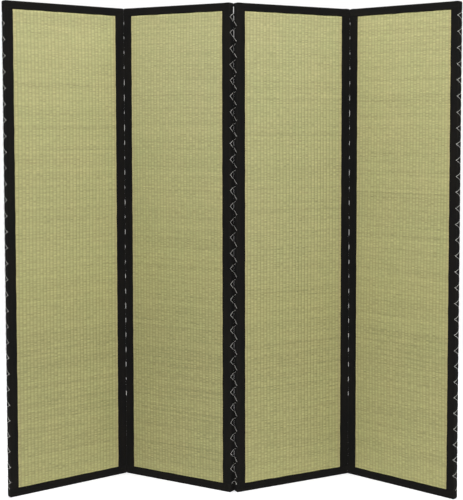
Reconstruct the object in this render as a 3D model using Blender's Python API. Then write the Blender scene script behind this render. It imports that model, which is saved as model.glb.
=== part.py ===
"""Four-panel folding screen faced with goza, the mat woven from rush.

Each panel is a plain wooden frame with a mat on its front and its rear. Black cotton tape
binds all four edges, and a zigzag of white string is sewn down both sides. The same string
ties neighbouring panels together, so it is their hinge.

The screen stands on z = 0 in a zigzag, its front towards -Y. A panel is built in its own
axes: x from its left edge, y from its front face to its rear face, and z up.
"""

import math

import bmesh
import bpy
from mathutils import Matrix, Vector

# The size of one panel over its tape
PANEL_WIDTH = 0.445
PANEL_HEIGHT = 1.700
PANEL_THICKNESS = 0.022

# How far each panel is turned from the screen's own line, in degrees
PANEL_TURNS = {1: 36.0, 2: -29.0, 3: 27.0, 4: -39.2}

# The tape, and the width of it that shows on the faces
TAPE_THICKNESS = 0.0012
TAPE_SIDE = 0.031
TAPE_TOP = 0.028
TAPE_BOTTOM = 0.0295
TAPE_EDGE_RADIUS = 0.0025
TAPE_CORNER_RADIUS = 0.006

# The mat, and how far its cut edge lies inside the panel's edge, under the tape
MAT_THICKNESS = 0.0018
MAT_INSET = 0.004

# The wooden frame
MEMBER_WIDTH = 0.025
MEMBER_CORNER_CUT = 0.0055

# The string: a V at every pitch, with one arm longer than the other
LACE_THICKNESS = 0.0018
LACE_PITCH = 0.0541
LACE_LONG_ARM = 0.01545
LACE_SHORT_ARM = 0.0116
LACE_COUNT = 30
LACE_FIRST_DROP = 0.0477
LACE_TOP_DROP = 0.012
LACE_BOTTOM = 0.030
LACE_APEX_INSET = 0.0019

# Pieces that touch keep this gap. The string of each panel keeps half of it to the hinge.
GAP = 0.0003
HALF_GAP = GAP / 2

# Where a hinge's axis lies: beside the panel's narrow edge, and beyond its face
AXIS_BESIDE = GAP + LACE_THICKNESS + HALF_GAP
AXIS_BEYOND = GAP + HALF_GAP

# How deep the layers lie, counted from either face
TAPE_DEPTH = TAPE_THICKNESS + GAP
MAT_DEPTH = TAPE_DEPTH + MAT_THICKNESS
FRAME_DEPTH = MAT_DEPTH + GAP

# The finish of each piece: colour, then roughness
FINISHES = {
    "rush": ((0.47, 0.45, 0.21), 0.75),
    "black_tape": ((0.012, 0.012, 0.013), 0.9),
    "string": ((0.62, 0.61, 0.58), 0.85),
    "pine": ((0.58, 0.42, 0.24), 0.7),
}


def clear_scene():
    for obj in list(bpy.data.objects):
        bpy.data.objects.remove(obj, do_unlink=True)


def make_finish(name):
    colour, roughness = FINISHES[name]
    finish = bpy.data.materials.new(name)
    finish.use_nodes = True
    shader = finish.node_tree.nodes["Principled BSDF"]
    shader.inputs["Base Color"].default_value = (*colour, 1.0)
    shader.inputs["Roughness"].default_value = roughness
    shader.inputs["Metallic"].default_value = 0.0
    finish.diffuse_color = (*colour, 1.0)
    return finish


def add_piece(name, bm, finish):
    """Turns a bmesh into a named object with one finish."""
    bmesh.ops.recalc_face_normals(bm, faces=bm.faces)
    mesh = bpy.data.meshes.new(name)
    bm.to_mesh(mesh)
    bm.free()
    mesh.materials.append(finish)
    piece = bpy.data.objects.new(name, mesh)
    bpy.context.scene.collection.objects.link(piece)
    return piece


def block(low, high):
    """A bmesh box between two corners."""
    bm = bmesh.new()
    bmesh.ops.create_cube(bm, size=1.0)
    low, high = Vector(low), Vector(high)
    size = high - low
    bmesh.ops.scale(bm, vec=size, verts=bm.verts)
    bmesh.ops.translate(bm, vec=low + size / 2, verts=bm.verts)
    return bm


def open_sides(bm, sides):
    """Removes the faces of a box that look along the given directions."""
    gone = [face for face in bm.faces if any(face.normal.dot(Vector(side)) > 0.9 for side in sides)]
    bmesh.ops.delete(bm, geom=gone, context="FACES")


def round_edges(bm, edges, radius, segments):
    bmesh.ops.bevel(
        bm, geom=edges, offset=radius, segments=segments, profile=0.5, affect="EDGES", clamp_overlap=False
    )


def give_thickness(piece):
    """The tape is modelled by its outer surface, and its thickness goes inwards."""
    solidify = piece.modifiers.new("thickness", "SOLIDIFY")
    solidify.thickness = TAPE_THICKNESS
    solidify.offset = -1.0
    solidify.use_even_offset = True


def side_binding(name, at_left, finish):
    """Tape folded round a long edge: a channel between the two end caps."""
    edge_x = 0.0 if at_left else PANEL_WIDTH
    inner_x = TAPE_SIDE if at_left else PANEL_WIDTH - TAPE_SIDE
    bm = block(
        (min(edge_x, inner_x), 0.0, TAPE_BOTTOM + GAP),
        (max(edge_x, inner_x), PANEL_THICKNESS, PANEL_HEIGHT - TAPE_TOP - GAP),
    )
    open_sides(bm, [(1 if at_left else -1, 0, 0), (0, 0, 1), (0, 0, -1)])
    outer = [edge for edge in bm.edges if all(abs(v.co.x - edge_x) < GAP for v in edge.verts)]
    round_edges(bm, [edge for edge in outer if edge.is_manifold], TAPE_EDGE_RADIUS, 3)
    piece = add_piece(name, bm, finish)
    give_thickness(piece)
    return piece


def end_binding(name, at_top, finish):
    """Tape folded over the top or bottom edge: a cap with rounded corners, over both side edges."""
    if at_top:
        low_z, high_z, edge_z = PANEL_HEIGHT - TAPE_TOP, PANEL_HEIGHT, PANEL_HEIGHT
    else:
        low_z, high_z, edge_z = 0.0, TAPE_BOTTOM, 0.0
    bm = block((0.0, 0.0, low_z), (PANEL_WIDTH, PANEL_THICKNESS, high_z))
    across = [
        edge for edge in bm.edges
        if all(abs(v.co.z - edge_z) < GAP for v in edge.verts)
        and abs(edge.verts[0].co.y - edge.verts[1].co.y) > GAP
    ]
    round_edges(bm, across, TAPE_CORNER_RADIUS, 4)
    open_sides(bm, [(0, 0, -1 if at_top else 1)])
    rims = [
        edge for edge in bm.edges
        if edge.is_manifold and abs(edge.verts[0].co.y - edge.verts[1].co.y) < GAP
    ]
    round_edges(bm, rims, TAPE_EDGE_RADIUS, 2)
    piece = add_piece(name, bm, finish)
    give_thickness(piece)
    return piece


def stile(name, at_left, finish):
    """An upright of the frame. Its outer corners are cut off to lie inside the tape's round corners."""
    near, far = TAPE_DEPTH, TAPE_DEPTH + MEMBER_WIDTH
    bottom, top, cut = TAPE_DEPTH, PANEL_HEIGHT - TAPE_DEPTH, MEMBER_CORNER_CUT
    outline = [
        (near + cut, bottom), (far, bottom), (far, top),
        (near + cut, top), (near, top - cut), (near, bottom + cut),
    ]
    bm = bmesh.new()
    points = [
        bm.verts.new((x if at_left else PANEL_WIDTH - x, FRAME_DEPTH, z)) for x, z in outline
    ]
    face = bm.faces.new(points)
    drawn = bmesh.ops.extrude_face_region(bm, geom=[face])["geom"]
    moved = [item for item in drawn if isinstance(item, bmesh.types.BMVert)]
    depth = PANEL_THICKNESS - 2 * FRAME_DEPTH
    bmesh.ops.translate(bm, vec=(0.0, depth, 0.0), verts=moved)
    return add_piece(name, bm, finish)


def rail(name, at_top, finish):
    """A crosspiece of the frame, between the two stiles."""
    reach = TAPE_DEPTH + MEMBER_WIDTH + GAP
    low_z = PANEL_HEIGHT - TAPE_DEPTH - MEMBER_WIDTH if at_top else TAPE_DEPTH
    bm = block(
        (reach, FRAME_DEPTH, low_z),
        (PANEL_WIDTH - reach, PANEL_THICKNESS - FRAME_DEPTH, low_z + MEMBER_WIDTH),
    )
    return add_piece(name, bm, finish)


def mat(name, at_front, finish):
    """One sheet of goza, stretched flat over a face of the frame."""
    near = TAPE_DEPTH if at_front else PANEL_THICKNESS - MAT_DEPTH
    bm = block(
        (MAT_INSET, near, MAT_INSET),
        (PANEL_WIDTH - MAT_INSET, near + MAT_THICKNESS, PANEL_HEIGHT - MAT_INSET),
    )
    return add_piece(name, bm, finish)


def lacing_path(runs_at_rear, leads):
    """The string's (y, z) points down one narrow edge of a panel.

    It runs down along the corner where the hinge is, and at every pitch it crosses to the
    other corner and back. The panel at a hinge's left leads, and its neighbour follows with
    its Vs in between, so that the two halves read as one zigzag.
    """
    corner_y = LACE_THICKNESS / 2 - GAP
    apex_y = PANEL_THICKNESS - LACE_APEX_INSET
    if runs_at_rear:
        corner_y, apex_y = PANEL_THICKNESS - corner_y, PANEL_THICKNESS - apex_y
    above = LACE_SHORT_ARM if leads else LACE_LONG_ARM
    below = LACE_LONG_ARM if leads else LACE_SHORT_ARM
    drop = LACE_FIRST_DROP if leads else LACE_FIRST_DROP + 2 * LACE_LONG_ARM
    path = [(corner_y, PANEL_HEIGHT - LACE_TOP_DROP)]
    for step in range(LACE_COUNT):
        apex_z = PANEL_HEIGHT - drop - step * LACE_PITCH
        path += [(corner_y, apex_z + above), (apex_y, apex_z), (corner_y, apex_z - below)]
    path.append((corner_y, LACE_BOTTOM))
    return path


def mitres(path):
    """For each point of a flat path, the sideways step that keeps the string's width at a bend."""
    steps = []
    for index, point in enumerate(path):
        here = Vector(point)
        before = Vector(path[max(index - 1, 0)])
        after = Vector(path[min(index + 1, len(path) - 1)])
        arriving = (here - before if index else after - here).normalized()
        leaving = (after - here if index < len(path) - 1 else here - before).normalized()
        sides = [Vector((-way.y, way.x)) for way in (arriving, leaving)]
        middle = (sides[0] + sides[1]).normalized()
        steps.append(middle * (LACE_THICKNESS / 2) / middle.dot(sides[0]))
    return steps


def lacing(name, at_left, runs_at_rear, leads, finish):
    """The string down one narrow edge: a square strand that lies on the tape."""
    path = lacing_path(runs_at_rear, leads)
    inner = -GAP if at_left else PANEL_WIDTH + GAP
    outer = inner - LACE_THICKNESS if at_left else inner + LACE_THICKNESS
    bm = bmesh.new()
    rings = []
    for point, step in zip(path, mitres(path)):
        one, other = Vector(point) + step, Vector(point) - step
        corners = [(inner, *one), (outer, *one), (outer, *other), (inner, *other)]
        rings.append([bm.verts.new(corner) for corner in corners])
    for ring, following in zip(rings, rings[1:]):
        for side in range(4):
            turn = (side + 1) % 4
            bm.faces.new((ring[side], ring[turn], following[turn], following[side]))
    bm.faces.new(rings[0])
    bm.faces.new(rings[-1])
    return add_piece(name, bm, finish)


def build_panel(number, finishes):
    """The pieces of one panel, in its own axes.

    The outer two hinges have their axes in front of the panels and the middle one behind
    them. The string runs down the corner at each axis, and at the rear of a free edge.
    """
    prefix = f"panel_{number}_"
    rear_run_left, rear_run_right = number in (1, 3), number in (2, 4)
    return [
        stile(prefix + "stile_left", True, finishes["pine"]),
        stile(prefix + "stile_right", False, finishes["pine"]),
        rail(prefix + "rail_top", True, finishes["pine"]),
        rail(prefix + "rail_bottom", False, finishes["pine"]),
        mat(prefix + "mat_front", True, finishes["rush"]),
        mat(prefix + "mat_rear", False, finishes["rush"]),
        side_binding(prefix + "binding_left", True, finishes["black_tape"]),
        side_binding(prefix + "binding_right", False, finishes["black_tape"]),
        end_binding(prefix + "binding_top", True, finishes["black_tape"]),
        end_binding(prefix + "binding_bottom", False, finishes["black_tape"]),
        lacing(prefix + "lacing_left", True, rear_run_left, False, finishes["string"]),
        lacing(prefix + "lacing_right", False, rear_run_right, True, finishes["string"]),
    ]


def turned(number, x, y):
    """A step in a panel's own axes, as a step in the screen's axes."""
    step = Matrix.Rotation(math.radians(PANEL_TURNS[number]), 3, "Z") @ Vector((x, y, 0.0))
    return step


def hinge_places():
    """The three hinge axes from left to right, counted from the first."""
    stride = PANEL_WIDTH + 2 * AXIS_BESIDE
    offset = PANEL_THICKNESS + 2 * AXIS_BEYOND
    left = Vector((0.0, 0.0, 0.0))
    middle = left + turned(2, stride, offset)
    right = middle + turned(3, stride, -offset)
    return left, middle, right


def stand_panel(number, name, place, corner):
    """An empty on the hinge's axis, and the panel's pieces parented to it.

    corner is the panel's own front left corner, seen from the axis.
    """
    hinge = bpy.data.objects.new(name, None)
    hinge.empty_display_type = "SINGLE_ARROW"
    hinge.location = place
    hinge.rotation_euler = (0.0, 0.0, math.radians(PANEL_TURNS[number]))
    bpy.context.scene.collection.objects.link(hinge)
    for piece in PANELS[number]:
        piece.parent = hinge
        piece.location = (*corner, 0.0)
    return hinge


def centre_on_origin(hinges):
    """Moves the screen so that the middle of its base lies at the origin."""
    bpy.context.view_layer.update()
    points = [
        piece.matrix_world @ vertex.co
        for pieces in PANELS.values() for piece in pieces for vertex in piece.data.vertices
    ]
    for axis in range(2):
        reach = [point[axis] for point in points]
        middle = (min(reach) + max(reach)) / 2
        for hinge in hinges:
            hinge.location[axis] -= middle


clear_scene()
FINISH_OF = {name: make_finish(name) for name in FINISHES}
PANELS = {number: build_panel(number, FINISH_OF) for number in PANEL_TURNS}

LEFT, MIDDLE, RIGHT = hinge_places()
BEFORE_AXIS = -AXIS_BESIDE - PANEL_WIDTH
BEHIND_AXIS = AXIS_BEYOND
AHEAD_OF_AXIS = -AXIS_BEYOND - PANEL_THICKNESS
HINGES = [
    stand_panel(1, "hinge_panel_1", LEFT, (BEFORE_AXIS, BEHIND_AXIS)),
    stand_panel(2, "base_panel_2", LEFT, (AXIS_BESIDE, BEHIND_AXIS)),
    stand_panel(3, "hinge_panel_3", MIDDLE, (AXIS_BESIDE, AHEAD_OF_AXIS)),
    stand_panel(4, "hinge_panel_4", RIGHT, (AXIS_BESIDE, BEHIND_AXIS)),
]
centre_on_origin(HINGES)
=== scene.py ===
# %% [markdown]
# # A folding screen faced with goza
#
# Four tall panels stand in a zigzag. Each is a wooden frame with a mat of woven rush stretched
# on both faces, bound all round in black cotton tape and laced down both sides with white
# string. The packed model gives every piece its place and the way the panels swing. This
# notebook dresses it: it weaves the mats, folds the tape, twists the string and grains the wood.
#
# We begin by loading the packed screen, and keep its box, which the dressed screen must fill.

import math

import bmesh
import bpy
import numpy as np
from mathutils import Matrix, Vector


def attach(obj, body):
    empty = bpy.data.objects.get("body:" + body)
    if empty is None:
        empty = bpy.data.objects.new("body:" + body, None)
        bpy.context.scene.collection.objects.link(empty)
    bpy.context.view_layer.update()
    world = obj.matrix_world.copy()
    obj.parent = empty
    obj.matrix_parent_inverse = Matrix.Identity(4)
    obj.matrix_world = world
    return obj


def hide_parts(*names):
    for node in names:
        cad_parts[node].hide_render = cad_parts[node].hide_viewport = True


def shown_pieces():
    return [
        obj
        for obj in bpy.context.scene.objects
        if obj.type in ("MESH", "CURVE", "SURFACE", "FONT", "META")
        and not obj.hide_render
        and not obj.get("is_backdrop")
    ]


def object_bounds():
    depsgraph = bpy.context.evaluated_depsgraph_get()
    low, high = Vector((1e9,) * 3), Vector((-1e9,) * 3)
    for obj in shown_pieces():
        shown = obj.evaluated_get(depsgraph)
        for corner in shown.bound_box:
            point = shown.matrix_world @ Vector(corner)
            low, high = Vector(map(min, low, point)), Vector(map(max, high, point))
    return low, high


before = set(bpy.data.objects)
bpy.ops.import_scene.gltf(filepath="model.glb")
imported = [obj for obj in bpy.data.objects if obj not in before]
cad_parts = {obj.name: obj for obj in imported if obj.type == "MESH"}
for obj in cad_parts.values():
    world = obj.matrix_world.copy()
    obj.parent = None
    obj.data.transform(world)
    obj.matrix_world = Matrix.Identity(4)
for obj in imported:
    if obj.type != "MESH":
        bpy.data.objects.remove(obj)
packed_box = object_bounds()

# %% The measures the maker works to, in metres, those of one panel first
WIDTH, HEIGHT, THICKNESS = 0.445, 1.700, 0.022
PANEL_TURNS = {1: 36.0, 2: -29.0, 3: 27.0, 4: -39.2}
TAPE_SIDE, TAPE_TOP, TAPE_BOTTOM = 0.031, 0.028, 0.0295
TAPE_THICKNESS, TAPE_DEPTH, MAT_INSET = 0.0012, 0.0015, 0.004
MAT_WIDTH, MAT_HEIGHT = WIDTH - 2 * MAT_INSET, HEIGHT - 2 * MAT_INSET
mm = 0.001
print("one panel is", WIDTH, "x", HEIGHT, "x", THICKNESS, "m")

# %% [markdown]
# ## The camera
#
# The photograph looks at the screen from a little right of its middle, at about the height of
# a standing person's chest, and its frame was cropped off centre. A crop like that is a shift of
# the lens, not a turn of the camera, so that upright edges keep the lean they have in it.

# %% Set up the camera
CAMERA_PLACE = (0.1632, -3.7845, 1.2885)
YAW, PITCH, TILT = -0.0168, -0.0561, 0.0022


def put(name, data):
    made = bpy.data.objects.new(name, data)
    bpy.context.scene.collection.objects.link(made)
    return made


camera = put("camera", bpy.data.cameras.new("camera"))
bpy.context.scene.camera = camera
camera.data.sensor_width = 36.0
camera.data.lens = 77.67
camera.data.shift_x, camera.data.shift_y = -0.133, -0.132
camera.matrix_world = (
    Matrix.Translation(CAMERA_PLACE)
    @ Matrix.Rotation(YAW, 4, "Z")
    @ Matrix.Rotation(math.pi / 2 + PITCH, 4, "X")
    @ Matrix.Rotation(TILT, 4, "Z")
)
print("camera stands", round(-CAMERA_PLACE[1], 2), "m in front")

# %% [markdown]
# ## Writing materials as sums
#
# A material is a web of nodes, and most of its nodes are plain arithmetic. So we wrap a socket
# in a small class whose + - * / make the Math nodes, and every other node comes from one
# method, `node`. A weave can then be read as a formula.

# %% A socket that does sums, and a finish that holds the nodes
class Tone:
    """One output socket of a finish. Sums of tones add Math nodes."""

    def __init__(self, finish, socket):
        self.finish, self.socket = finish, socket

    def math(self, operation, *terms):
        terms = dict(enumerate(terms))
        return self.finish.node("ShaderNodeMath", {"operation": operation}, terms)

    def __add__(self, other): return self.math("ADD", self, other)
    def __radd__(self, other): return self.math("ADD", other, self)
    def __sub__(self, other): return self.math("SUBTRACT", self, other)
    def __rsub__(self, other): return self.math("SUBTRACT", other, self)
    def __mul__(self, other): return self.math("MULTIPLY", self, other)
    def __truediv__(self, other): return self.math("DIVIDE", self, other)
    def __pow__(self, power): return self.math("POWER", self, power)
    def __abs__(self): return self.math("ABSOLUTE", self)
    def whole(self): return self.math("FLOOR", self)
    def wave(self): return self.math("SINE", self * (2 * math.pi))
    def odd(self): return self.math("FLOORED_MODULO", self, 2.0)

    def rise(self, low, high):
        """0 below low, 1 above high, and a soft step between them."""
        settings = {"interpolation_type": "SMOOTHSTEP"}
        return self.finish.node("ShaderNodeMapRange", settings, {0: self, 1: low, 2: high})


class Finish:
    """A material whose shader is Principled, with its constants set straight on the sockets."""

    def __init__(self, name, **constants):
        self.material = bpy.data.materials.new(name)
        self.material.use_nodes = True
        self.tree = self.material.node_tree
        self.shader = self.tree.nodes["Principled BSDF"]
        for socket, value in constants.items():
            self.shader.inputs[socket.replace("_", " ")].default_value = value

    def node(self, kind, settings, sockets, output=0):
        made = self.tree.nodes.new(kind)
        for name, value in settings.items():
            setattr(made, name, value)
        for key, value in sockets.items():
            if isinstance(value, Tone):
                self.tree.links.new(value.socket, made.inputs[key])
            else:
                made.inputs[key].default_value = value
        return Tone(self, made.outputs[output])

    def mark(self, name, output=2):
        """A mark that was left on the mesh's points: output 2 is a number, 1 a vector."""
        return self.node("ShaderNodeAttribute", {"attribute_name": name}, {}, output)

    def split(self, vector):
        return [self.node("ShaderNodeSeparateXYZ", {}, {0: vector}, axis) for axis in range(3)]

    def join(self, x, y, z):
        return self.node("ShaderNodeCombineXYZ", {}, {0: x, 1: y, 2: z})

    def noise(self, vector, detail=2.0):
        sockets = {"Vector": vector, "Scale": 1.0, "Detail": detail, "Roughness": 0.55}
        return self.node("ShaderNodeTexNoise", {"noise_dimensions": "3D"}, sockets)

    def chance(self, vector):
        """A different number from 0 to 1 for every whole-numbered vector."""
        return self.node("ShaderNodeTexWhiteNoise", {"noise_dimensions": "3D"}, {"Vector": vector})

    def blend(self, share, one, other):
        settings = {"data_type": "RGBA", "blend_type": "MIX"}
        return self.node("ShaderNodeMix", settings, {0: share, 6: one, 7: other}, 2)

    def shade(self, colour, amount):
        sockets = {0: colour, "Scale": amount}
        return self.node("ShaderNodeVectorMath", {"operation": "SCALE"}, sockets)

    def relief(self, height, depth):
        sockets = {"Height": height, "Distance": depth, "Strength": 1.0}
        self.give(Normal=self.node("ShaderNodeBump", {}, sockets))

    def give(self, **links):
        for socket, tone in links.items():
            self.tree.links.new(tone.socket, self.shader.inputs[socket.replace("_", " ")])


print("a finish knows", sum(callable(each) for each in vars(Finish).values()), "methods")

# %% [markdown]
# ## The rush
#
# Goza is woven from dried rush stems laid side by side across the mat, over and under cotton
# warps that run up it. Each warp draws the stems down, and between two warps they swell into a
# rib. A stem that is on top in one rib is below in the next, so the stems of neighbouring ribs
# are half a row apart. Every stem dries to its own green or straw, which gives the mat many of
# its small dots and its long faint streaks; other dots are painted highlights, each with painted
# shade beside it. An image of this would blur close up. Here a mark on the mesh counts the ribs,
# and each float of stem gets its own number.

# %% Count the ribs and give every stem its own tone
RIB_PITCH, STEM_ROW, TUFT_HEIGHT = 0.01258, 0.0027, 0.0038

rush = Finish("rush", Specular_IOR_Level=0.28, Sheen_Weight=0.04)
across, up, sheet_number = rush.split(rush.mark("lay", 1))
rib = rush.mark("rib")
crest = abs((rib * 0.5).wave())
rib_number = rib.whole()
drift = rush.noise(rush.join(across * 7, up * 5, sheet_number), 1.0)
row = up / STEM_ROW + rib_number.odd() * 0.5 + drift * 2.5
row_number = row.whole()
stem = abs((row * 0.5).wave())

float_tone = rush.chance(rush.join(rib_number, row_number, sheet_number))
stem_side = sheet_number * 3.1 + rib_number.odd() * 9
stem_tone = rush.noise(rush.join(across * 9, row_number * 5.37, stem_side))
streak = rush.noise(rush.join(across * 0.7, up * 150, sheet_number * 2.3), 1.0)
fault = rush.noise(rush.join(across * 1.6, up * 190, sheet_number * 7.3), 1.0)
tuft_row = (up / TUFT_HEIGHT + float_tone * 0.6).whole()
# a painted highlight for each tuft cell, and the painted shade it gives the cell above it
tuft_highlight = rush.chance(rush.join(rib_number, tuft_row, sheet_number + 0.5))
shade_from_tuft_below = rush.chance(rush.join(rib_number, tuft_row - 1.0, sheet_number + 0.5))
patch = rush.noise(rush.join(across * 9, up * 5, sheet_number * 4.9), 3.0)
print("ribs", round(RIB_PITCH / mm, 2), "mm apart, rows", round(STEM_ROW / mm, 1), "mm apart")

# %% Find the places beside the tape
# The hems shade the rush beside them too much, so it is lightened there with painted light,
# beside the side tape and next to the caps. It is browner along the side tape, and a little
# paler at the foot.
HALF_MAT = MAT_WIDTH / 2
SIDE_HEM, FOOT_HEM = TAPE_SIDE - MAT_INSET, TAPE_BOTTOM - MAT_INSET
HEAD_HEM = MAT_HEIGHT + MAT_INSET - TAPE_TOP

from_side = HALF_MAT - abs(across - HALF_MAT)
painted_light_beside_tape = 1.0 - from_side.rise(SIDE_HEM, SIDE_HEM + 0.004)
tanned = 1.0 - from_side.rise(SIDE_HEM + 0.002, SIDE_HEM + 0.015)
painted_light_by_caps = up.rise(HEAD_HEM - 0.008, HEAD_HEM) * 0.50
painted_light_by_caps += (1.0 - up.rise(FOOT_HEM, FOOT_HEM + 0.008)) * 0.28
at_foot = 1.0 - up.rise(FOOT_HEM + 0.0025, FOOT_HEM + 0.0645)
print("the mat shows from", round(FOOT_HEM / mm, 1), "to", round(HEAD_HEM / mm, 1), "mm up")

# %% Colour the rush
age = rush.mark("age")
light = (
    1.0
    # painted light on the rib crests and painted shade in the valleys between them
    + (crest - 0.64) * 0.19
    + (float_tone - 0.5) * crest * 0.27
    # painted highlights on the crests, each with painted shade in the cell above it
    + (tuft_highlight - shade_from_tuft_below * 0.8 - 0.1) * crest * 0.20
    + (stem_tone - 0.5) * 0.05
    + (streak - 0.5) * 0.33
    - fault.rise(0.64, 0.74) * 0.08
    # darker where the darkening mark is high; its bulge at a quarter of the height is painted shade
    - age * 0.10
    # painted light beside the side tape and next to the caps, against the hems' shadow
    + painted_light_beside_tape * 0.17
    + painted_light_by_caps
    + at_foot * 0.07
)
straw = rush.blend(age, (0.424, 0.396, 0.190, 1.0), (0.424, 0.395, 0.169, 1.0))
green = rush.blend(age, (0.394, 0.397, 0.184, 1.0), (0.398, 0.394, 0.165, 1.0))
dye = rush.blend((patch * 0.5 + stem_tone * 0.6 - 0.05).rise(0.25, 0.75), green, straw)
dye = rush.blend(tanned * 0.45, dye, (0.440, 0.378, 0.176, 1.0))
rush.give(Base_Color=rush.shade(dye, light), Roughness=0.52 + stem_tone * 0.25)
rush.relief(crest ** 0.6 * 0.5 + stem ** 0.7 * 0.55 * crest + float_tone * 0.25, 0.0005)
print("rush:", len(rush.tree.nodes), "nodes")

# %% [markdown]
# ## The black tape
#
# The binding is plain-woven cotton dyed black. What keeps such cloth from looking like paint is
# its thread, a little lint and dust, and the greyer line where a fold has been rubbed. The
# machine's row of stitches follows each hem. The specular level is low, because matt cotton
# throws back almost no gloss.

# %% Write the tape
THREAD, STITCH_LENGTH = 0.0007, 0.0036
COOL_BLACK, WARM_BLACK = (0.0080, 0.0078, 0.0074, 1.0), (0.0086, 0.0078, 0.0067, 1.0)

tape = Finish("black_tape", Specular_IOR_Level=0.08, Roughness=0.94, Sheen_Weight=0.015)
over, along, strip_number = tape.split(tape.mark("lay", 1))
wear, seam = tape.mark("wear"), tape.mark("seam")
warp = abs((over / THREAD).wave())
weft = abs((along / THREAD).wave())
turn = ((over * 2 / THREAD).whole() + (along * 2 / THREAD).whole()).odd()
thread = warp * turn + weft * (1.0 - turn)
lint = tape.noise(tape.join(over * 260, along * 260, strip_number), 4.0)
crumple = tape.noise(tape.join(over * 90, along * 38, strip_number * 3), 3.0)
fade = tape.noise(tape.join(over * 25, along * 7, strip_number * 5))
stitch = seam.rise(0.55, 0.95) * abs((along / STITCH_LENGTH * 0.5).wave()).rise(0.25, 0.6)

# the thread term paints the gaps between threads darker than their tops, as painted shade
depth_of_black = (
    0.75 + thread * 0.30 + (lint - 0.5) * 0.8 + (fade - 0.5) * 0.7 + wear * 0.75 + stitch * 0.5
)
black = tape.blend(fade.rise(0.35, 0.65), COOL_BLACK, WARM_BLACK)
tape.give(Base_Color=tape.shade(black, depth_of_black))
tape.relief(thread * 0.12 + crumple * 1.6 + stitch * 0.35 - seam.rise(0.3, 0.8) * 0.3, 0.0006)
print("tape:", len(tape.tree.nodes), "nodes, thread", THREAD / mm, "mm")

# %% [markdown]
# ## The string
#
# The lacing is a soft cotton cord of three plies, off-white and handled. The plies are made in
# the mesh, and a mark on it says how far out of the cord each point lies, so that the furrows
# between plies can be painted greyer than their tops, as painted shade.

# %% Write the string
CLEAN_COTTON, HANDLED_COTTON = (0.82, 0.81, 0.77, 1.0), (0.68, 0.67, 0.63, 1.0)

string = Finish("string", Specular_IOR_Level=0.25, Roughness=0.85, Sheen_Weight=0.05)
run, _, cord_number = string.split(string.mark("lay", 1))
ply = string.mark("ply")
fibre = string.noise(string.join(run * 900, ply * 3, cord_number), 3.0)
grime = string.noise(string.join(run * 22, cord_number * 7, 0.0))
cotton = string.blend(grime.rise(0.35, 0.75), CLEAN_COTTON, HANDLED_COTTON)
# painted shade in the furrows between plies: the deeper a point lies in the cord, the greyer
string.give(Base_Color=string.shade(cotton, 0.74 + ply * 0.22 + fibre * 0.22))
string.relief(ply * 0.8 + fibre * 0.5, 0.0003)
print("string:", len(string.tree.nodes), "nodes")

# %% [markdown]
# ## The wood
#
# Nobody sees the frame inside, but it is there, and it is plain pine. Its grain is the classic
# trick: rings of a slowly bent distance from a pith that lies outside the board.

# %% Write the pine
pine = Finish("pine", Specular_IOR_Level=0.35)
wood_x, wood_y, wood_z = pine.split(pine.node("ShaderNodeTexCoord", {}, {}, 3))
bend = pine.noise(pine.join(wood_x * 3, wood_y * 3, wood_z * 0.8))
from_pith = ((wood_x * 4 + 1.3) ** 2.0 + (wood_y * 6 + 0.7) ** 2.0) ** 0.5 + bend * 0.6
ring = abs((from_pith * 9).wave()) ** 1.5
pore = pine.noise(pine.join(wood_x * 900, wood_y * 900, wood_z * 14))
board = pine.blend(ring, (0.62, 0.45, 0.25, 1.0), (0.45, 0.27, 0.12, 1.0))
pine.give(Base_Color=pine.shade(board, 0.85 + pore * 0.3), Roughness=0.55 + ring * 0.2)
pine.relief(pore * 0.4 + ring * 0.3, 0.0003)
for name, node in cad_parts.items():
    if "stile" in name or "rail" in name:
        node.data.materials.clear()
        node.data.materials.append(pine.material)
print("pine:", len(pine.tree.nodes), "nodes")

# %% [markdown]
# ## Working in a panel's own axes
#
# All four panels are alike, so each piece is shaped in the axes of its panel: x from the left
# edge, y from the front face to the rear face, z up. The packed front mat says where they
# stand. A piece keeps those axes as its object's own, and so turns with them into place.

# %% Find where each panel stands
def panel_place(number):
    turn = math.radians(PANEL_TURNS[number])
    along_panel = np.array([math.cos(turn), math.sin(turn)])
    back_of_panel = np.array([-math.sin(turn), math.cos(turn)])
    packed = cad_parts[f"panel_{number}_mat_front"].data.vertices
    feet = np.array([vertex.co[:2] for vertex in packed])
    corner = along_panel * ((feet @ along_panel).min() - MAT_INSET)
    corner = corner + back_of_panel * ((feet @ back_of_panel).min() - TAPE_DEPTH)
    return Matrix.Translation((*corner, 0.0)) @ Matrix.Rotation(turn, 4, "Z")


PLACES = {number: panel_place(number) for number in PANEL_TURNS}
for number, place_of_panel in PLACES.items():
    print("panel", number, "stands at", [round(each, 4) for each in place_of_panel.translation])

# %% Turn points into a piece
def grid(rows, columns):
    """The four-sided faces between rows x columns points."""
    corner = np.arange(rows * columns).reshape(rows, columns)
    quads = [corner[:-1, :-1], corner[:-1, 1:], corner[1:, 1:], corner[1:, :-1]]
    return np.stack(quads, axis=-1).reshape(-1, 4)


def leave_mark(mesh, name, values):
    values = np.asarray(values, dtype=np.float32)
    kind, field = ("FLOAT_VECTOR", "vector") if values.ndim == 2 else ("FLOAT", "value")
    mesh.attributes.new(name, kind, "POINT").data.foreach_set(field, values.ravel())


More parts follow.
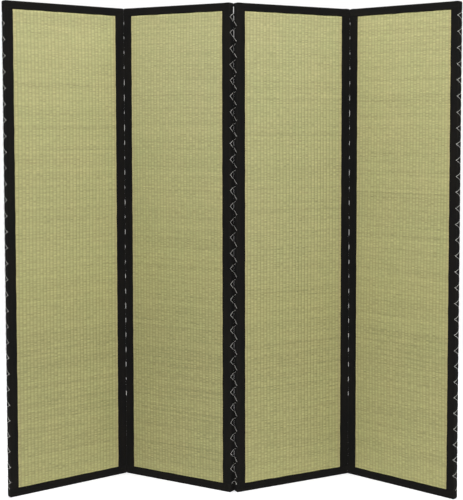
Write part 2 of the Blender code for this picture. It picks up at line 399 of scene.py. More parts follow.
def add_piece(name, number, points, faces, finish, marks, tube=False):
    """A smooth mesh in the panel's axes that faces outwards, stands in place and swings with it."""
    mesh = bpy.data.meshes.new(name)
    mesh.from_pydata(points.tolist(), [], faces.tolist())
    for mark, values in marks.items():
        leave_mark(mesh, mark, values)
    mesh.materials.append(finish.material)
    bm = bmesh.new()
    bm.from_mesh(mesh)
    if tube:
        bmesh.ops.recalc_face_normals(bm, faces=bm.faces)
    else:
        middle = Vector((WIDTH, THICKNESS, HEIGHT)) / 2
        outwards = sum(
            face.normal.dot(face.calc_center_median() - middle) * face.calc_area()
            for face in bm.faces
        )
        if outwards < 0:
            bmesh.ops.reverse_faces(bm, faces=bm.faces)
    bm.to_mesh(mesh)
    bm.free()
    mesh.shade_smooth()
    piece = put(name, mesh)
    piece.matrix_world = PLACES[number]
    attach(piece, f"panel_{number}")
    return piece


print("a grid of 3 x 3 points has", len(grid(3, 3)), "faces")

# %% Three curves that soften a shape
def ripple(distance, seed, *waves):
    """A seeded unevenness over a distance: each wave is (height, length)."""
    chance = np.random.RandomState(seed)
    total = np.zeros_like(distance)
    for height, length in waves:
        for share in (1.0, 0.63, 0.41):
            phase = chance.uniform(0, 2 * math.pi)
            wave = np.sin(2 * math.pi * distance / (length * share) + phase)
            total += height * share / 1.5 * wave
    return total


def soft_step(value, low, high):
    """0 at low, 1 at high, and an eased step between them, which may also run downwards."""
    share = np.clip((value - low) / (high - low), 0.0, 1.0)
    return share * share * (3 - 2 * share)


def bell(value, middle, width):
    """1 at the middle, fading to nothing on both sides."""
    return np.exp(-((value - middle) / width) ** 2)


print("halfway up a soft step:", soft_step(0.5, 0.0, 1.0))

# %% [markdown]
# ## Weaving the mats
#
# A mat is one sheet, stretched flat, so only its ribs leave the plane. They are modelled, so
# that light rakes over them, and the finish adds the stems, with painted light on the crests and
# painted shade in the valleys. No loom holds its warps quite straight over a metre and a half,
# so the ribs wander a few millimetres. The mark called rib counts them from edge to edge, for
# the mesh and the finish alike. The mark called darkening says how much darker and yellower the
# rush is, given for a mat's head and its foot, with painted shade added at a quarter of its
# height.

# %% Make one mat
MAT_CREST, RIB_DEPTH, SAG = 0.00135, 0.00032, 0.0002
SAMPLES_PER_RIB, MAT_ROWS, FIRST_RIB = 8, 72, 8
DARKENING_OF_FRONT = {1: (0.1, 1.4), 2: (-0.4, 2.1), 3: (-0.1, 1.3), 4: (0.2, 1.3)}
DARKENING_OF_REAR = (0.2, 0.5)


def add_mat(number, at_front):
    name = f"panel_{number}_mat_{'front' if at_front else 'rear'}"
    seed = number * 2 + (0 if at_front else 1)
    columns = int(MAT_WIDTH / RIB_PITCH * SAMPLES_PER_RIB)
    x, z = np.meshgrid(np.linspace(0, MAT_WIDTH, columns), np.linspace(0, MAT_HEIGHT, MAT_ROWS))
    wander = ripple(z, seed, (0.0042, 2.9), (0.0002, 0.30)) + ripple(x, seed + 50, (0.0006, 0.11))
    ribs = (x + wander) / RIB_PITCH + FIRST_RIB
    valley = 1 - np.abs(np.sin(math.pi * ribs)) ** 0.8
    sag = 0.5 + 0.5 * np.sin(x * 9 + seed) * np.sin(z * 4 + 2 * seed)
    y = MAT_CREST + RIB_DEPTH * valley + SAG * sag
    y = y if at_front else THICKNESS - y
    points = np.stack([x + MAT_INSET, y, z + MAT_INSET], axis=-1).reshape(-1, 3)
    lay = np.stack([x, z, np.full_like(x, seed * 11.0)], axis=-1).reshape(-1, 3)
    head, foot = DARKENING_OF_FRONT[number] if at_front else DARKENING_OF_REAR
    # darker towards the foot by the given amounts, and painted shade adds more at a quarter of the
    # height
    darkening_by_height = foot + (head - foot) * z / MAT_HEIGHT + 0.5 * bell(z / MAT_HEIGHT, 0.27, 0.13)
    marks = {"lay": lay, "rib": ribs.ravel(), "age": darkening_by_height.ravel()}
    piece = add_piece(name + "_woven", number, points, grid(*x.shape), rush, marks)
    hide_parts(name)
    members = ("stile_left", "stile_right", "rail_top", "rail_bottom")
    members = [f"panel_{number}_{member}" for member in members]
    return piece


mats = [add_mat(number, at_front) for number in PLACES for at_front in (True, False)]
print(len(mats), "mats,", len(mats[0].data.polygons), "faces each")

# %% [markdown]
# ## Where the string runs
#
# Down each narrow edge the string makes a V at every pitch. It leaves the corner where the
# hinge is, crosses the edge, bites into the cloth at the far corner and comes back. The left
# panel of a hinge leads and its neighbour follows half a pitch lower, so that the two halves
# read as one zigzag. Between two Vs the follower's string lies in the seam and shows there as
# a short dash, though near the floor only at a ridge. The leader's stays under the cloth, but
# for the first run at the ridge's top. On the screen's two outer edges the bites reach round
# the corner, on to the face.
#
# An edge has its own axes too: how deep a point lies inside the edge, how far it is from the
# face on the hinge's side, and its height. A hinge that points at the viewer is a ridge, one
# that points away a valley, and the screen's outer edges are free.

# %% Ease a path, and draw one V
STRING_RADIUS = 0.00053
LACE_PITCH, LACE_COUNT = 0.0541, 30
LONG_ARM, SHORT_ARM, FIRST_DROP = 0.01545, 0.0116, 0.0477
IN_CORNER, ON_EDGE, AT_APEX = (-0.00115, 0.00069), -0.00077, THICKNESS - 0.0019
BEHIND_LIP, DIVE = (0.0001, 0.0018), (0.0012, 0.0022)
OUTER_REACH = {"left": 0.0018, "right": 0.0046}


def smooth_path(points, spacing=0.0022):
    """A polyline with its bends eased, as points that are evenly spaced."""
    points = np.array(points)
    steps = np.linalg.norm(np.diff(points, axis=0), axis=1)
    walked = np.concatenate([[0], np.cumsum(steps)])
    fine = np.linspace(0, walked[-1], max(int(walked[-1] / 0.0005), 8))
    dense = np.stack([np.interp(fine, walked, points[:, axis]) for axis in range(3)], axis=-1)
    padded = np.concatenate([dense[:1]] * 2 + [dense] + [dense[-1:]] * 2)
    eased = sum(padded[step:step + len(dense)] for step in range(5)) / 5
    count = max(int(walked[-1] / spacing), 4)
    return eased[np.linspace(0, len(eased) - 1, count).round().astype(int)]


def outer_vee(apex_z, above, below, reach):
    """A V whose bite lies round the corner, on the face. Its arms are straight on the unfolded
    cloth, so each point has the walk that is left to the bite."""
    span = THICKNESS + reach
    arm = [
        (*IN_CORNER, span),
        (ON_EDGE - 0.0002, THICKNESS / 2, reach + THICKNESS / 2),
        (ON_EDGE, THICKNESS - 0.0030, reach + 0.0030),
        (0.0001, THICKNESS - 0.0001, reach),
        (reach, THICKNESS + 0.0005, 0.0),
    ]
    up = [(depth, near, apex_z + above * walk / span + 0.0003) for depth, near, walk in arm]
    down = [(depth, near, apex_z - below * walk / span - 0.0003) for depth, near, walk in arm[::-1]]
    return [*up, (reach + 0.0004, THICKNESS - 0.0006, apex_z), *down]


def vee(apex_z, above, below, kind, leads, chance):
    """Up arm, bite and down arm of one V, as (depth, from hinge face, z)."""
    lean = chance.uniform(-0.0009, 0.0009)
    apex = AT_APEX + chance.uniform(-0.0007, 0.0006)
    if kind == "free":
        return outer_vee(apex_z, above, below, OUTER_REACH["right" if leads else "left"] + lean)
    sinks = 0.0018 if kind == "ridge" and not leads else 0.0002
    corner = BEHIND_LIP if kind == "valley" else IN_CORNER
    top, bottom = apex_z + above, apex_z - below
    middle = (corner[1] + apex) / 2
    return [
        (*corner, top),
        (ON_EDGE - 0.0002, middle, (top + apex_z) / 2 + lean),
        (ON_EDGE, apex - 0.0022, apex_z + above * 0.10),
        (0.0007, apex + 0.0004, apex_z + 0.0006),
        (0.0007, apex + 0.0004, apex_z - 0.0006),
        (ON_EDGE + sinks, apex - 0.0022, apex_z - below * 0.10),
        (ON_EDGE + sinks, apex - 0.0062, apex_z - below * 0.32),
        (ON_EDGE + sinks * 0.9 - 0.0002, middle, (bottom + apex_z) / 2 + lean),
        (*corner, bottom),
    ]


print("a V every", round(LACE_PITCH / mm, 1), "mm,", LACE_COUNT, "down each edge")

# %% Draw the string between the Vs, and its end
IN_SEAM, UNDER_CLOTH = np.array([-0.00166, 0.00012]), np.array([0.0003, 0.0020])
SEAM_TOP = HEIGHT - 0.0112
DASH_LENGTHS = [0.002, 0.004, 0.008, 0.010, 0.012, 0.015]
RIDGE_LIFTS = [0.06, 0.15, 0.25]
NO_DASH_BELOW = 0.30
TAIL_Z, LEADER_FALL, FOLLOWER_FALL = 0.0355, 0.0098, 0.0066


def dash(top, bottom, shows, lift):
    """The string between two Vs, and how far up in the seam it is at each height. It runs under
    the cloth, and up in the seam for the length that shows."""
    z = np.linspace(top, bottom, 14)[1:-1]
    from_middle = np.abs(z - (top + bottom) / 2)
    up = lift * (1 - soft_step(from_middle, shows / 2, shows / 2 + 0.0035))
    depth, near = UNDER_CLOTH[:, None] + np.outer(IN_SEAM - UNDER_CLOTH, up)
    return list(zip(depth, near, z)), [(top - 0.0008, 0.0), *zip(z, up), (bottom + 0.0008, 0.0)]


def length_and_lift(step, apex_z, kind, chance):
    """What shows of the string below a V: the length, and how far it is up in the seam."""
    length = chance.choice(DASH_LENGTHS) if step else 0.002
    if kind != "ridge":
        return length, float(apex_z > NO_DASH_BELOW)
    return (0.012, chance.choice(RIDGE_LIFTS)) if step else (0.019, 1.0)


def tail(falls):
    """The last run at the foot, across the edge and into the far corner."""
    return [
        (*IN_CORNER, TAIL_Z),
        (ON_EDGE, THICKNESS / 2, TAIL_Z - falls * 0.53),
        (ON_EDGE, AT_APEX - 0.003, TAIL_Z - falls * 0.87),
        (0.0008, AT_APEX, TAIL_Z - falls),
    ]


def knot(z):
    """An overhand knot, drawn tight on the edge."""
    turns = np.linspace(0, 2 * math.pi, 60)
    depth = ON_EDGE - 0.0013 - 0.0006 * np.sin(3 * turns)
    near = AT_APEX - 0.0030 + 0.0005 * (np.sin(turns) + 2 * np.sin(2 * turns))
    height = z + 0.0005 * (np.cos(turns) - 2 * np.cos(2 * turns))
    return np.stack([depth, near, height], axis=-1)


print("the string ends", round((TAIL_Z - LEADER_FALL) / mm, 1), "mm above the floor")

# %% Put the string of one edge together
def leader_runs(vees, kind):
    """The leader's Vs one by one, since it dives under the cloth between them."""
    runs = [[(*DIVE, one[0][2] + 0.001), *one, (*DIVE, one[-1][2] - 0.001)] for one in vees]
    shown = []
    if kind == "ridge":
        first_run, shown = dash(SEAM_TOP, vees[0][0][2], 0.021, 1.0)
        runs[0] = [(*DIVE, SEAM_TOP + 0.001), *first_run, *runs[0][1:]]
    return runs + [[(*DIVE, TAIL_Z + 0.001), *tail(LEADER_FALL)]], shown


def follower_run(vees, apexes, kind, chance):
    """The follower's string as one run, down in the seam from V to V."""
    under = vees[0][0][2]
    if kind == "ridge":
        first_run, shown = dash(SEAM_TOP, under + 0.026, 0.021, 1.0)
        second_run, more = dash(under + 0.025, under, 0.012, 0.95)
        run, shown = [(*DIVE, SEAM_TOP + 0.001), *first_run, *second_run], shown + more
    else:
        first_run, shown = dash(under + 0.020, under, 0.0015, 0.85)
        run = [(*DIVE, under + 0.021), *first_run]
    for step, one in enumerate(vees):
        run += one
        if step + 1 < len(vees):
            length, lift = length_and_lift(step, apexes[step], kind, chance)
            strands, more = dash(one[-1][2], vees[step + 1][0][2], length, lift)
            run, shown = run + strands, shown + more
    return run + [(0.0004, 0.0022, TAIL_Z + 0.003), *tail(FOLLOWER_FALL)], shown


def lacing_paths(leads, seed, kind):
    """One edge's string as separate smooth paths, and the dashes in its seam as (z, how far up)."""
    chance = np.random.RandomState(seed)
    above, below = (SHORT_ARM, LONG_ARM) if leads else (LONG_ARM, SHORT_ARM)
    first = HEIGHT - FIRST_DROP - (0 if leads else 2 * LONG_ARM)
    apexes = [
        first - step * LACE_PITCH + chance.uniform(-0.0008, 0.0008) for step in range(LACE_COUNT)
    ]
    vees = [vee(apex_z, above, below, kind, leads, chance) for apex_z in apexes]
    if leads:
        runs, shown = leader_runs(vees, kind)
        return [smooth_path(run) for run in runs], shown
    run, shown = follower_run(vees, apexes, kind, chance)
    paths = [smooth_path(run)]
    if kind == "ridge":
        paths.append(smooth_path(knot(TAIL_Z - FOLLOWER_FALL), 0.0007))
    return paths, shown


print("a ridge's follower has", len(lacing_paths(False, 0, "ridge")[0][0]), "points")

# %% [markdown]
# ## Twisting the string
#
# A strand is a tube whose section is a soft trefoil, turned a little further at each ring. The
# ring's axes are carried along the path without spinning, so that the twist is only ours.

# %% Make a twisted strand
SIDES, PLIES, TWIST_LENGTH = 12, 3, 0.0105


def twisted_strand(path, radius):
    """The rings of a strand, how far out of it each point lies, and the distance walked."""
    ahead = np.gradient(path, axis=0)
    ahead /= np.linalg.norm(ahead, axis=1, keepdims=True)
    walked = np.concatenate([[0], np.cumsum(np.linalg.norm(np.diff(path, axis=0), axis=1))])
    sideways = np.cross(ahead[0], (0.3, 0.9, 0.2))
    angles = np.arange(SIDES) / SIDES * 2 * math.pi
    rings, plies = [], []
    for point, way, distance in zip(path, ahead, walked):
        sideways = sideways - way * (way @ sideways)
        sideways /= np.linalg.norm(sideways)
        other = np.cross(way, sideways)
        out = np.cos(PLIES * angles - distance / TWIST_LENGTH * 2 * math.pi)
        reach = radius * (0.93 + 0.09 * out)
        to_side = np.outer(reach * np.cos(angles), sideways)
        rings.append(point + to_side + np.outer(reach * np.sin(angles), other))
        plies.append(out * 0.5 + 0.5)
    return np.array(rings), np.array(plies), walked


def tube_faces(rings, first):
    corner = first + np.arange(rings * SIDES).reshape(rings, SIDES)
    around = np.roll(corner, -1, axis=1)
    walls = [corner[:-1], around[:-1], around[1:], corner[1:]]
    fans = [
        (corner[end, 0], corner[end, side], corner[end, side + 1], corner[end, side + 2])
        for end in (0, -1) for side in range(1, SIDES - 2, 2)
    ]
    return np.concatenate([np.stack(walls, axis=-1).reshape(-1, 4), np.array(fans)])


print("a turn of the string every", TWIST_LENGTH * PLIES / mm, "mm")

# %% Lace the edges
def from_edge(points, at_left, hinge_at_rear):
    """(depth, from hinge face, z) of an edge, as x, y, z of its panel."""
    depth, near, z = points[..., 0], points[..., 1], points[..., 2]
    x = depth if at_left else WIDTH - depth
    y = THICKNESS - near if hinge_at_rear else near
    return np.stack([x, y, z], axis=-1)


def add_lacing(number, at_left, paths, hinge_at_rear):
    name = f"panel_{number}_lacing_{'left' if at_left else 'right'}"
    seed = number * 2 + at_left
    points, faces, plies, lay, made = [], [], [], [], 0
    for path in paths:
        rings, outs, walked = twisted_strand(path, STRING_RADIUS)
        faces.append(tube_faces(len(rings), made))
        points.append(from_edge(rings, at_left, hinge_at_rear).reshape(-1, 3))
        made += len(points[-1])
        plies.append(outs.ravel())
        along_cord = np.repeat(walked, SIDES)
        cord = np.full_like(along_cord, seed + path[0][2])
        lay.append(np.stack([along_cord, along_cord * 0, cord], axis=-1))
    points, faces = np.concatenate(points), np.concatenate(faces)
    marks = {"lay": np.concatenate(lay), "ply": np.concatenate(plies)}
    piece = add_piece(name + "_twisted", number, points, faces, string, marks, tube=True)
    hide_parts(name)


EDGES = {}
for number in PLACES:
    for at_left in (True, False):
        hinge_at_rear = number in ((1, 3) if at_left else (2, 4))
        free = number == (1 if at_left else 4)
        kind = "free" if free else "ridge" if hinge_at_rear else "valley"
        paths, dashes = lacing_paths(not at_left, number * 7 + at_left, kind)
        EDGES[number, at_left] = {
            "rear": hinge_at_rear, "free": free, "paths": paths, "dashes": dashes,
        }
        add_lacing(number, at_left, paths, hinge_at_rear)
print(len(EDGES), "edges laced")

# %% [markdown]
# ## Folding the tape down the sides
#
# The side tape is a channel folded round the edge. Its cloth swells between stitches and is
# pinched under the string, and at a hinge two corners are drawn together until they meet on
# its axis. So the fold is made twice: once tight over the frame, and once as slack as it goes.
# At every point the nearest bit of string decides which of the two holds.

# %% The tight fold and the slack fold
FOLD_RADIUS = 0.0025
FACE_RUN = TAPE_SIDE - FOLD_RADIUS
ARC = FOLD_RADIUS * math.pi / 2
EDGE_RUN = THICKNESS - 2 * FOLD_RADIUS
FOLD_LENGTH = 2 * (FACE_RUN + ARC) + EDGE_RUN
CORNER = FACE_RUN + ARC / 2


def tight_fold(over_tape):
    """(depth, from hinge face) of the plain fold, by the distance over the tape from its hem."""
    flipped = over_tape > FOLD_LENGTH / 2
    run = np.where(flipped, FOLD_LENGTH - over_tape, over_tape)
    angle = np.clip((run - FACE_RUN) / ARC, 0, 1) * math.pi / 2
    past = np.maximum(run - FACE_RUN - ARC, 0)
    depth = np.where(run < FACE_RUN, TAPE_SIDE - run, FOLD_RADIUS * (1 - np.sin(angle)))
    near = np.where(run < FACE_RUN, 0.0, FOLD_RADIUS * (1 - np.cos(angle)) + past)
    return depth, np.where(flipped, THICKNESS - near, near)


# Each line is drawn through (mm from the middle of the corner, mm that the cloth stands out).
FREE_OUT = [
    (-7, 0), (-2, 0.3), (0, 0.7), (2, 1.1), (6, 1.5), (11, 1.6), (16, 1.5), (19, 1.2), (21, 0.8),
    (23, 0.4), (27, 0),
]
FREE_OFF = [(-12, 0), (-6, 0.1), (-2, 0.18), (0, 0.1), (2, 0)]
HINGED_OUT = [
    (-9, 0), (-4.5, 0.35), (-1.96, 1.5), (0, 2.980), (1.96, 2.12), (3.5, 1.95), (6, 1.75),
    (10, 1.5), (14, 1.3), (19, 0.9), (21, 0.45), (24, 0),
]
HINGED_OFF = [(-14, 0), (-8, 0.08), (-4.5, 0.2), (-1.96, 0.38), (0, 1.180), (1.96, 0.9), (3.5, 0)]
HINGE_BESIDE, HINGE_BEYOND, LIP_GAP = 0.00225, 0.00045, 0.000002


def line_through(points, distance):
    return np.interp(distance / mm, *zip(*points)) * mm


def slack(from_corner, depth, near, free):
    """How far slack cloth stands out from the edge and off the face, by the distance from the
    middle of the hinge's corner, counted over the narrow edge. It stops just short of the
    hinge's axis, so that no cloth enters its neighbour's side at any pose."""
    out = line_through(FREE_OUT if free else HINGED_OUT, from_corner)
    off = line_through(FREE_OFF if free else HINGED_OFF, from_corner)
    out = np.minimum(out, depth + HINGE_BESIDE - LIP_GAP)
    return out, np.minimum(off, near + HINGE_BEYOND - LIP_GAP)


print("tape", round(FOLD_LENGTH / mm, 1), "mm wide")

# %% Let the string draw the cloth in
HELD_WITHIN, FREE_BEYOND, LOOK_WITHIN = 0.0013, 0.0058, 0.008
PAST_SEAM, PINCH = 0.0012, 0.44


def held_by_string(depth, near, z, edge):
    """0 where the string holds the cloth down, 1 where it is free of it."""
    path = np.concatenate(edge["paths"])
    path = path[path[:, 1] > PAST_SEAM]
    reach = np.full(depth.shape, 1.0)
    for row in range(depth.shape[0]):
        close = path[np.abs(path[:, 2] - z[row, 0]) < LOOK_WITHIN]
        if len(close):
            gap = np.stack([depth[row], near[row], z[row]], axis=-1)[:, None] - close[None]
            reach[row] = np.linalg.norm(gap, axis=-1).min(axis=1)
    return soft_step(reach, HELD_WITHIN, FREE_BEYOND)


def open_for_dash(from_corner, z, edge):
    """The share of its slack that the lip keeps beside a string that is up in the seam."""
    if not edge["dashes"]:
        return np.ones_like(z)
    at, up = np.array(sorted(edge["dashes"])).T
    return 1 - PINCH * np.interp(z, at, up) * bell(from_corner, 0.0006, 0.0024)


def drawn_channel(edge, seed, over_tape, z):
    """(depth, from hinge face) of the tape as the string leaves it, and where it is creased."""
    depth, near = tight_fold(over_tape)
    out, off = slack(over_tape - CORNER, depth, near, edge["free"])
    crease = bell(over_tape, CORNER, 0.0022) * (not edge["free"])
    hold = np.maximum(held_by_string(depth, near, z, edge), crease)
    hold = hold * open_for_dash(over_tape - CORNER, z, edge)
    swell = 1 + ripple(z, seed, (0.05, 0.09)) * (1 - crease)
    return depth - out * hold * swell.clip(0.8, 1.0), near - off * hold, crease


# Stations over the tape, in mm from its hem to its middle line: they crowd in the folds, and
# one lies on the lip. The other half mirrors them.
MIDDLE_LINE, LIP_FROM_MIDDLE = FOLD_LENGTH / 2 / mm, 10.465
STATIONS = np.array([
    0.6, 2.6, 4.4, 11, 19, 24.5, 27.2, 28.5, 29.5, MIDDLE_LINE - LIP_FROM_MIDDLE, 31.4, 32.4,
    34.2, 36.2, 38.4, MIDDLE_LINE,
]) * mm
STATIONS = np.concatenate([STATIONS, FOLD_LENGTH - STATIONS[-2::-1]])
print("the tape is folded over", len(STATIONS), "stations")

# %% Make the cloth uneven and tuck in its ends
ROW_STEP, TUCK, TUCKED_BY = 0.0045, 0.005, 0.0013
HEM_STITCH = 0.0026


def side_cloth(edge, seed, low, high):
    """The side tape from hem to hem, as rows of (depth, from hinge face, z)."""
    inner = np.arange(low + TUCK - 0.0006, high - TUCK + 0.0006, ROW_STEP)[1:-1]
    heights = np.concatenate([[low, low + TUCK + 0.0004], inner, [high - TUCK - 0.0004, high]])
    over_tape, z = np.meshgrid(STATIONS, heights)
    depth, near, crease = drawn_channel(edge, seed, over_tape, z)
    other_way = FOLD_LENGTH - over_tape
    on_hinge_face = over_tape < FOLD_LENGTH / 2
    inwards = np.where(on_hinge_face, 1.0, -1.0)

    flat = soft_step(over_tape, FACE_RUN, 0.006) + soft_step(other_way, FACE_RUN, 0.006)
    uneven = ripple(z + over_tape * 0.7, seed + 9, (0.00010, 0.06), (0.00005, 0.023))
    stitched = 0.00022 * bell(np.minimum(over_tape, other_way), HEM_STITCH, 0.001)
    near = near + inwards * (uneven * flat + stitched)
    hinge_hem = ripple(z, seed + 3, (0.0004, 0.13), (0.00015, 0.03))
    far_hem = ripple(z, seed + 5, (0.0004, 0.15), (0.00015, 0.04))
    depth = depth + np.where(on_hinge_face, hinge_hem, far_hem) * soft_step(flat, 0.3, 1.0)

    tucked = 1 - soft_step(np.minimum(z - low, high - z), TUCK - 0.0006, TUCK + 0.0003)
    tucked = tucked * (1 - crease) * TUCKED_BY
    depth = depth + tucked * (1 - flat)
    off_edge = soft_step(np.abs(over_tape - FOLD_LENGTH / 2), 0.006, 0.010)
    near = near + inwards * tucked * off_edge
    return np.stack([depth, near, z], axis=-1)


print("a row of points every", ROW_STEP / mm, "mm, ends tucked", TUCK / mm, "mm under the caps")

# %% Make one side binding
TURNED_IN = np.array([[0.0004, 0.00035, 0.0], [0.0003, 0.0010, 0.0], [-0.0030, 0.0013, 0.0]])


def add_side_binding(number, at_left):
    name = f"panel_{number}_binding_{'left' if at_left else 'right'}"
    edge, seed = EDGES[number, at_left], number * 4 + at_left
    low, high = TAPE_BOTTOM - TUCK, HEIGHT - TAPE_TOP + TUCK
    body = side_cloth(edge, seed, low, high)
    hinge_hem = body[:, :1] + TURNED_IN[::-1]
    far_hem = body[:, -1:] + TURNED_IN * (1, -1, 1)
    cloth = np.concatenate([hinge_hem, body, far_hem], axis=1)

    turned = np.array([-0.004, -0.0008, -0.0003])
    widths = np.concatenate([turned, STATIONS, FOLD_LENGTH - turned[::-1]])
    across_tape = np.broadcast_to(widths, cloth.shape[:2])
    from_hem = np.minimum(across_tape, FOLD_LENGTH - across_tape)
    strip = np.full_like(across_tape, seed * 3.0)
    rubbed = bell(from_hem, CORNER, 0.0016) * (0.8 if edge["free"] else 0.3)
    marks = {
        "lay": np.stack([across_tape, cloth[..., 2], strip], axis=-1).reshape(-1, 3),
        "wear": (rubbed + bell(from_hem, 0.0, 0.0008) * 0.3).ravel(),
        "seam": bell(from_hem, HEM_STITCH, 0.0009).ravel(),
    }
    points = from_edge(cloth, at_left, edge["rear"]).reshape(-1, 3)
    piece = add_piece(name + "_folded", number, points, grid(*cloth.shape[:2]), tape, marks)
    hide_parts(name)
    return piece


sides = [add_side_binding(number, at_left) for number, at_left in EDGES]
print(len(sides), "side bindings,", len(sides[0].data.polygons), "faces each")

# %% [markdown]
# ## Capping the ends
#
# Top and bottom the tape is folded over the end and laps over the side tape, so its hem draws
# a fine line across it. Seen from the front the cap is a strip with two round corners. We mesh
# its two flat sides as grids whose last row bends round those corners, join them with a strip
# that rolls over the edge, weld the three, and give the shell the thickness of the cloth.

# %% Draw the flat sides of a cap and roll it over the edge
HINGE_CORNER, FOOT_CORNER, OUTER_CORNER = 0.0034, 0.0028, 0.0058
CAP_COLUMNS, CAP_ROWS = 52, np.array([0.0, 0.14, 0.32, 0.52, 0.70, 0.84, 0.93, 1.0])
ROLL_TURNS = np.radians([0.0, 22.0, 45.0, 68.0, 90.0])
EDGE_STOPS = np.array([5.5, 8.5, 11.0, 13.5, 16.5]) * mm


def cap_outline(hem_drop, radii):
    """Columns of (x, drop) for the flat sides, drop counted from the outer end to the hem. The
    two radii are those of the left and the right corner."""
    turns = np.radians(np.linspace(0, 90, 6))
    left, right = [FOLD_RADIUS + (radius - FOLD_RADIUS) * (1 - np.cos(turns)) for radius in radii]
    middle = np.linspace(0.012, WIDTH - 0.012, CAP_COLUMNS)
    x = np.concatenate([left, middle, WIDTH - right[::-1]])
    left, right = [radius - (radius - FOLD_RADIUS) * np.sin(turns) for radius in radii]
    first = np.concatenate([left, np.full(CAP_COLUMNS, FOLD_RADIUS), right[::-1]])
    return x, first[:, None] + (hem_drop - first[:, None]) * CAP_ROWS[None, :]


def cap_rim(x, drops, radii):
    """The rim of a flat side, as (x, drop) and which way it faces, aside and upward."""
    rim = [(x[0], drop, -1.0, 0.0) for drop in drops[0, ::-1]]
    for column in range(1, len(x) - 1):
        from_left, from_right = x[column], WIDTH - x[column]
        tilt_left = max(0.0, 1 - (from_left - FOLD_RADIUS) / (radii[0] - FOLD_RADIUS))
        tilt_right = max(0.0, 1 - (from_right - FOLD_RADIUS) / (radii[1] - FOLD_RADIUS))
        aside = tilt_right - tilt_left
        rim.append((x[column], drops[column, 0], aside, -math.sqrt(max(0.0, 1 - aside * aside))))
    return rim + [(x[-1], drop, 1.0, 0.0) for drop in drops[-1]]


def rolled_strip(rim):
    """The strip that leaves one face, crosses the edge and reaches the other face."""
    rows = []
    for x, drop, aside, upward in rim:
        bend = []
        for turn in ROLL_TURNS:
            reach = FOLD_RADIUS * math.sin(turn)
            y = FOLD_RADIUS * (1 - math.cos(turn))
            bend.append((x + aside * reach, y, drop + upward * reach))
        flat = [(bend[-1][0], y, bend[-1][2]) for y in EDGE_STOPS]
        rows.append(bend + flat + [(x, THICKNESS - y, drop) for x, y, drop in bend[::-1]])
    return np.array(rows)


def cap_shell(hem_drop, radii):
    """The points of a plain cap, as x, y and drop, and its faces."""
    x, drops = cap_outline(hem_drop, radii)
    wide = np.broadcast_to(x[:, None], drops.shape)
    plates = [np.stack([wide, np.full(drops.shape, y), drops], axis=-1) for y in (0.0, THICKNESS)]
    strip = rolled_strip(cap_rim(x, drops, radii))
    points = np.concatenate([part.reshape(-1, 3) for part in (*plates, strip)])
    plate, rolled = grid(*drops.shape), grid(*strip.shape[:2])[:, ::-1]
    faces = np.concatenate([plate, plate[:, ::-1] + drops.size, rolled + 2 * drops.size])
    return points, faces


print("a plain cap has", len(cap_shell(TAPE_TOP, (HINGE_CORNER, OUTER_CORNER))[1]), "faces")

# %% Soften the cap
LUMP_HEIGHTS = (0.0002, 0.0012)


def from_hinge_corner(depth, near):
    """How far a point of the plain fold is from the middle of its corner, over the cloth."""
    turn = np.arctan2(FOLD_RADIUS - depth, np.maximum(FOLD_RADIUS - near, 1e-9))
    on_bend = (turn / (math.pi / 2) - 0.5) * ARC
    on_edge = np.where(near > FOLD_RADIUS, ARC / 2 + near - FOLD_RADIUS, on_bend)
    return np.where(depth > FOLD_RADIUS - 1e-9, -ARC / 2 - (depth - FOLD_RADIUS), on_edge)


def swell_ends(points, plain, number, at_top):
    drop = plain[:, 2]
    z = HEIGHT - drop
    for at_left in (True, False):
        edge = EDGES[number, at_left]
        depth = plain[:, 0] if at_left else WIDTH - plain[:, 0]
        near = THICKNESS - plain[:, 1] if edge["rear"] else plain[:, 1]
        from_corner = from_hinge_corner(depth, near)
        out, off = slack(from_corner, depth, near, edge["free"])
        share = soft_step(drop, -0.001, 0.0018) * (depth < 0.03)
        share = share * (open_for_dash(from_corner, z, edge) if at_top else 1)
        points[:, 0] += (-1 if at_left else 1) * out * share
        points[:, 1] += (1 if edge["rear"] else -1) * off * share * (from_corner < 0.003)


def soften_cap(plain, number, seed, hem_drop, at_top):
    """Swells a plain cap and makes its cloth a little uneven, with a lump where each end laps."""
    points = plain.copy()
    swell_ends(points, plain, number, at_top)
    x, drop = plain[:, 0], plain[:, 2]
    face = np.clip((plain[:, 1] - THICKNESS / 2) / (THICKNESS / 2), -1, 1)
    inner = soft_step(x, 0.010, 0.020) * soft_step(WIDTH - x, 0.010, 0.020)
    rough = ripple(x + drop, seed, (0.00012, 0.07), (0.00005, 0.022)) + 0.00016
    points[:, 1] += np.sign(face) * soft_step(np.abs(face), 0.75, 0.99) * inner * rough
    chance = np.random.RandomState(seed)
    for x_of_lump in (0.010, WIDTH - 0.010):
        lump = bell(x, x_of_lump, 0.007) * soft_step(0.008 - drop, 0.0, 0.008)
        points[:, 2] -= at_top * lump * chance.uniform(*LUMP_HEIGHTS)
    waver = ripple(x + 0.3 * np.sign(face), seed + 2, (0.00045, 0.12), (0.00015, 0.03))
    points[:, 2] += waver * soft_step(drop, 0.6 * hem_drop, hem_drop) * inner
    return points


print("where its ends lap, a cap swells by up to", LUMP_HEIGHTS[1] / mm, "mm")

# %% Weld the cap and give it thickness
def cap_marks(points, drop, hem_drop, strip):
    """Where a cap is rubbed and stitched, and how its thread lies."""
    x, y = points[:, 0], points[:, 1]
    to_edge = np.minimum(np.minimum(x, WIDTH - x), drop)
    on_face = np.minimum(np.abs(y), np.abs(THICKNESS - y))
    fold = bell(to_edge, 0.0009, 0.0012) * bell(on_face, 0.0009, 0.0012)
    return {
        "lay": np.stack([drop + y, x, np.full(x.shape, strip)], axis=-1),
        "wear": fold * 0.8 + bell(hem_drop - drop, 0.0, 0.0008) * 0.3,
        "seam": bell(hem_drop - drop, 0.0022, 0.0010) * (on_face < 0.001),
    }


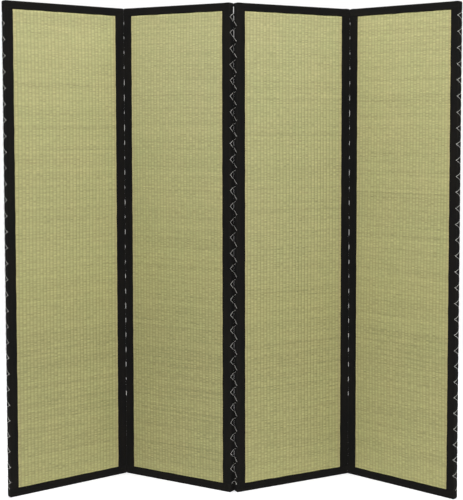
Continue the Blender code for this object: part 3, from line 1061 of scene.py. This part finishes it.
def thicken(piece):
    """Welds a cap's three parts and makes the cloth a shell."""
    bm = bmesh.new()
    bm.from_mesh(piece.data)
    bmesh.ops.remove_doubles(bm, verts=bm.verts, dist=1e-5)
    bm.to_mesh(piece.data)
    bm.free()
    shell = piece.modifiers.new("cloth", "SOLIDIFY")
    shell.thickness, shell.offset = TAPE_THICKNESS * 0.9, -1.0
    evaluated = piece.evaluated_get(bpy.context.evaluated_depsgraph_get())
    solid = bpy.data.meshes.new_from_object(evaluated)
    piece.modifiers.clear()
    piece.data = solid


def add_cap(number, at_top):
    name = f"panel_{number}_binding_{'top' if at_top else 'bottom'}"
    seed, hem_drop = number * 5 + 60 + at_top, TAPE_TOP if at_top else TAPE_BOTTOM
    hinge_corner = HINGE_CORNER if at_top else FOOT_CORNER
    free_ends = [EDGES[number, at_left]["free"] for at_left in (True, False)]
    radii = [OUTER_CORNER if free else hinge_corner for free in free_ends]
    points, faces = cap_shell(hem_drop, radii)
    points = soften_cap(points, number, seed, hem_drop, at_top)
    marks = cap_marks(points, points[:, 2], hem_drop, seed * 3.0)
    if at_top:
        points[:, 2] = HEIGHT - points[:, 2]
    piece = add_piece(name + "_folded", number, points, faces, tape, marks)
    thicken(piece)
    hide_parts(name)
    flat = (WIDTH + 2 * THICKNESS, 2 * hem_drop + THICKNESS)
    return piece


caps = [add_cap(number, at_top) for number in PLACES for at_top in (True, False)]
print(len(caps), "caps,", len(caps[0].data.polygons), "faces each")

# %% [markdown]
# ## Floor and light
#
# The screen stands on a plain white floor in white air. A broad lamp above lights the tops of
# the panels a little more than their feet, a smaller one fills the fronts, and a weaker one
# the backs. The floor glows a little, and the air looks brighter than it shines, so that both
# are white while string and weave keep their shadows.

# %% Lay the floor, hang the lamps and whiten the air
FLOOR_REACH = 2.2

floor_mesh = bpy.data.meshes.new("floor")
floor_corners = [(-1, -1), (1, -1), (1, 1), (-1, 1)]
floor_corners = [(x * FLOOR_REACH, y * FLOOR_REACH, 0) for x, y in floor_corners]
floor_mesh.from_pydata(floor_corners, [], [(0, 1, 2, 3)])
floor = put("floor", floor_mesh)
floor_paint = Finish(
    "floor_paint", Base_Color=(0.90, 0.90, 0.93, 1.0), Roughness=0.9, Specular_IOR_Level=0.1,
    Emission_Color=(1.0, 1.0, 1.0, 1.0), Emission_Strength=0.36,
)
floor_mesh.materials.append(floor_paint.material)
floor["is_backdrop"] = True


def hang_lamp(name, place, aim, size, power):
    lamp = bpy.data.lights.new(name, "AREA")
    lamp.shape, lamp.size, lamp.size_y, lamp.energy = "RECTANGLE", size[0], size[1], power
    holder = put(name, lamp)
    turn = (Vector(aim) - Vector(place)).to_track_quat("-Z", "Y").to_matrix().to_4x4()
    holder.matrix_world = Matrix.Translation(place) @ turn


hang_lamp("lamp_above", (0.1, -0.4, 3.4), (0.1, -0.4, 0.0), (4.4, 4.4), 150)
hang_lamp("lamp_front", (0.2, -2.8, 3.2), (0.0, 0.0, 1.3), (2.5, 1.6), 62)
hang_lamp("lamp_back", (-0.6, 3.0, 3.0), (0.0, 0.0, 1.1), (2.5, 1.6), 40)

AIR_AS_LIGHT, AIR_TO_SEE = 0.14, 1.0
world = bpy.data.worlds.new("white_air")
bpy.context.scene.world = world
world.use_nodes = True
air = world.node_tree.nodes["Background"]
air.inputs["Color"].default_value = (1.0, 1.0, 1.0, 1.0)
seen = world.node_tree.nodes.new("ShaderNodeLightPath")
brighter = world.node_tree.nodes.new("ShaderNodeMapRange")
brighter.inputs["To Min"].default_value = AIR_AS_LIGHT
brighter.inputs["To Max"].default_value = AIR_TO_SEE
world.node_tree.links.new(seen.outputs["Is Camera Ray"], brighter.inputs["Value"])
world.node_tree.links.new(brighter.outputs["Result"], air.inputs["Strength"])
bpy.context.scene.view_settings.view_transform = "Standard"
print(len(bpy.data.lights), "lamps, and air that shines at", AIR_AS_LIGHT, "of its look")

# %% Measure the dressed screen against the packed one
dressed_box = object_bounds()
sizes = {
    "cad": [list(corner) for corner in packed_box],
    "visual": [list(corner) for corner in dressed_box],
}
for name, (low, high) in sizes.items():
    print(name, [round((top - bottom) / mm, 1) for bottom, top in zip(low, high)], "mm")
faces_shown = sum(len(piece.data.polygons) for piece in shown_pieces())
print(faces_shown, "faces shown")
